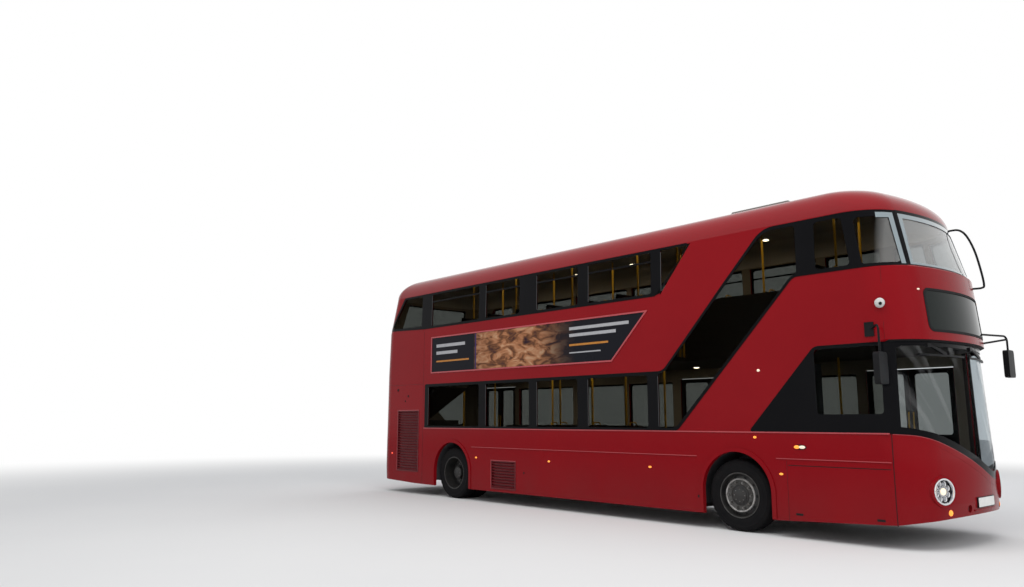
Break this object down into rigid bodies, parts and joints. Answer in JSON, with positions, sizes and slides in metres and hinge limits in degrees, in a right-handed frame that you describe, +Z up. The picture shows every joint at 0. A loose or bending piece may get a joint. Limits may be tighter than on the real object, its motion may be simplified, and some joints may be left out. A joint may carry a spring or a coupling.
{
  "type": "double decker bus",
  "caption": "Low-floor double deck city bus with a driver's cab, two stairs, folding kerb-side doors, steering front wheels and a tail lid.",
  "frame": {"origin": "on the road surface, at mid length and mid width of the bus", "axes": "+X points to the front of the bus, +Y to its kerb side, the left, and +Z up"},
  "size_m": [11.228, 3.12, 4.4549],
  "materials": {
    "red_paint": "gloss",
    "tinted_glass": "gloss",
    "display_glass": "gloss",
    "deck_cover": "matte",
    "stair_cover": "matte",
    "seat_cloth": "woven",
    "cab_plastic": "matte",
    "yellow_rail": "satin",
    "frame_steel": "satin",
    "engine_iron": "rough",
    "black_plastic": "satin",
    "roof_pod_paint": "satin",
    "wheel_metal": "satin",
    "tyre_rubber": "matte",
    "door_paint": "gloss",
    "trim_metal": "satin",
    "lamp_glass": "gloss",
    "tail_lamp": "gloss"
  },
  "bodies": {
    "bus_body": {"front_nose": "red_paint", "front_band": "red_paint", "offside_side": "red_paint", "nearside_side": "red_paint", "rear_lower_body": "red_paint", "rear_upper_body": "red_paint", "roof": "red_paint", "offside_glass": "tinted_glass", "nearside_glass": "tinted_glass", "front_glass": "tinted_glass", "destination_glass": "display_glass", "lower_floor": "deck_cover", "upper_floor": "deck_cover", "front_stair": "stair_cover", "rear_stair": "stair_cover", "lower_seats": "seat_cloth", "upper_seats": "seat_cloth", "cab": "cab_plastic", "steering_wheel": "cab_plastic", "driver_seat": "seat_cloth", "handrails": "yellow_rail", "chassis_frame": "frame_steel", "engine": "engine_iron", "front_axle": "frame_steel", "rear_axle": "frame_steel", "mirrors": "black_plastic", "plate_carriers": "black_plastic", "roof_pods": "roof_pod_paint", "rear_glass": "tinted_glass", "side_grilles": "red_paint", "side_mouldings": "trim_metal", "headlamps": "lamp_glass", "rear_lamps": "tail_lamp", "wipers": "black_plastic", "branch_guard": "black_plastic", "wheel_box_arches": "cab_plastic", "wheel_box_walls": "cab_plastic", "engine_bay": "cab_plastic", "cross_members": "frame_steel", "tow_tube": "frame_steel"},
    "left_knuckle": {"left_knuckle": "frame_steel"},
    "right_knuckle": {"right_knuckle": "frame_steel"},
    "front_left_wheel": {"front_left_wheel": "wheel_metal", "front_left_tyre": "tyre_rubber"},
    "front_right_wheel": {"front_right_wheel": "wheel_metal", "front_right_tyre": "tyre_rubber"},
    "rear_left_wheel": {"rear_left_wheel": "wheel_metal", "rear_left_tyre": "tyre_rubber"},
    "rear_right_wheel": {"rear_right_wheel": "wheel_metal", "rear_right_tyre": "tyre_rubber"},
    "front_door_rear_leaf": {"front_door_rear_leaf": "door_paint"},
    "front_door_front_leaf": {"front_door_front_leaf": "door_paint"},
    "middle_door_rear_leaf": {"middle_door_rear_leaf": "door_paint"},
    "middle_door_front_leaf": {"middle_door_front_leaf": "door_paint"},
    "rear_door_rear_leaf": {"rear_door_rear_leaf": "door_paint"},
    "rear_door_front_leaf": {"rear_door_front_leaf": "door_paint"},
    "engine_lid": {"engine_lid": "red_paint"}
  },
  "joints": [
    {"name": "left_steer", "type": "hinge", "parent": "bus_body", "child": "left_knuckle", "pos_m": [3.04, 0.89, 0.466], "axis": [0, 0, 1], "range_deg": [-40, 40]},
    {"name": "right_steer", "type": "hinge", "parent": "bus_body", "child": "right_knuckle", "pos_m": [3.04, -0.89, 0.466], "axis": [0, 0, 1], "range_deg": [-40, 40]},
    {"name": "front_left_spin", "type": "hinge", "parent": "left_knuckle", "child": "front_left_wheel", "pos_m": [3.04, 1.06, 0.466], "axis": [0, 1, 0], "continuous": true},
    {"name": "front_right_spin", "type": "hinge", "parent": "right_knuckle", "child": "front_right_wheel", "pos_m": [3.04, -1.06, 0.466], "axis": [0, 1, 0], "continuous": true},
    {"name": "rear_left_spin", "type": "hinge", "parent": "bus_body", "child": "rear_left_wheel", "pos_m": [-3.1, 0.9, 0.466], "axis": [0, 1, 0], "continuous": true},
    {"name": "rear_right_spin", "type": "hinge", "parent": "bus_body", "child": "rear_right_wheel", "pos_m": [-3.1, -0.9, 0.466], "axis": [0, 1, 0], "continuous": true},
    {"name": "front_door_rear_leaf_turn", "type": "hinge", "parent": "bus_body", "child": "front_door_rear_leaf", "pos_m": [3.776, 1.236, 1.26], "axis": [0, 0, 1], "range_deg": [-85, 0]},
    {"name": "front_door_front_leaf_turn", "type": "hinge", "parent": "bus_body", "child": "front_door_front_leaf", "pos_m": [4.924, 1.236, 1.26], "axis": [0, 0, 1], "range_deg": [0, 85]},
    {"name": "middle_door_rear_leaf_turn", "type": "hinge", "parent": "bus_body", "child": "middle_door_rear_leaf", "pos_m": [0.436, 1.236, 1.26], "axis": [0, 0, 1], "range_deg": [-85, 0]},
    {"name": "middle_door_front_leaf_turn", "type": "hinge", "parent": "bus_body", "child": "middle_door_front_leaf", "pos_m": [1.644, 1.236, 1.26], "axis": [0, 0, 1], "range_deg": [0, 85]},
    {"name": "rear_door_rear_leaf_turn", "type": "hinge", "parent": "bus_body", "child": "rear_door_rear_leaf", "pos_m": [-5.024, 1.236, 1.26], "axis": [0, 0, 1], "range_deg": [-85, 0]},
    {"name": "rear_door_front_leaf_turn", "type": "hinge", "parent": "bus_body", "child": "rear_door_front_leaf", "pos_m": [-4.066, 1.236, 1.26], "axis": [0, 0, 1], "range_deg": [0, 85]},
    {"name": "engine_lid_lift", "type": "hinge", "parent": "bus_body", "child": "engine_lid", "pos_m": [-5.615, -0.2, 1.114], "axis": [0, 1, 0], "range_deg": [0, 75]}
  ],
  "couplings": [
    {"joint": "right_steer", "follows": "left_steer", "ratio": 1}
  ]
}
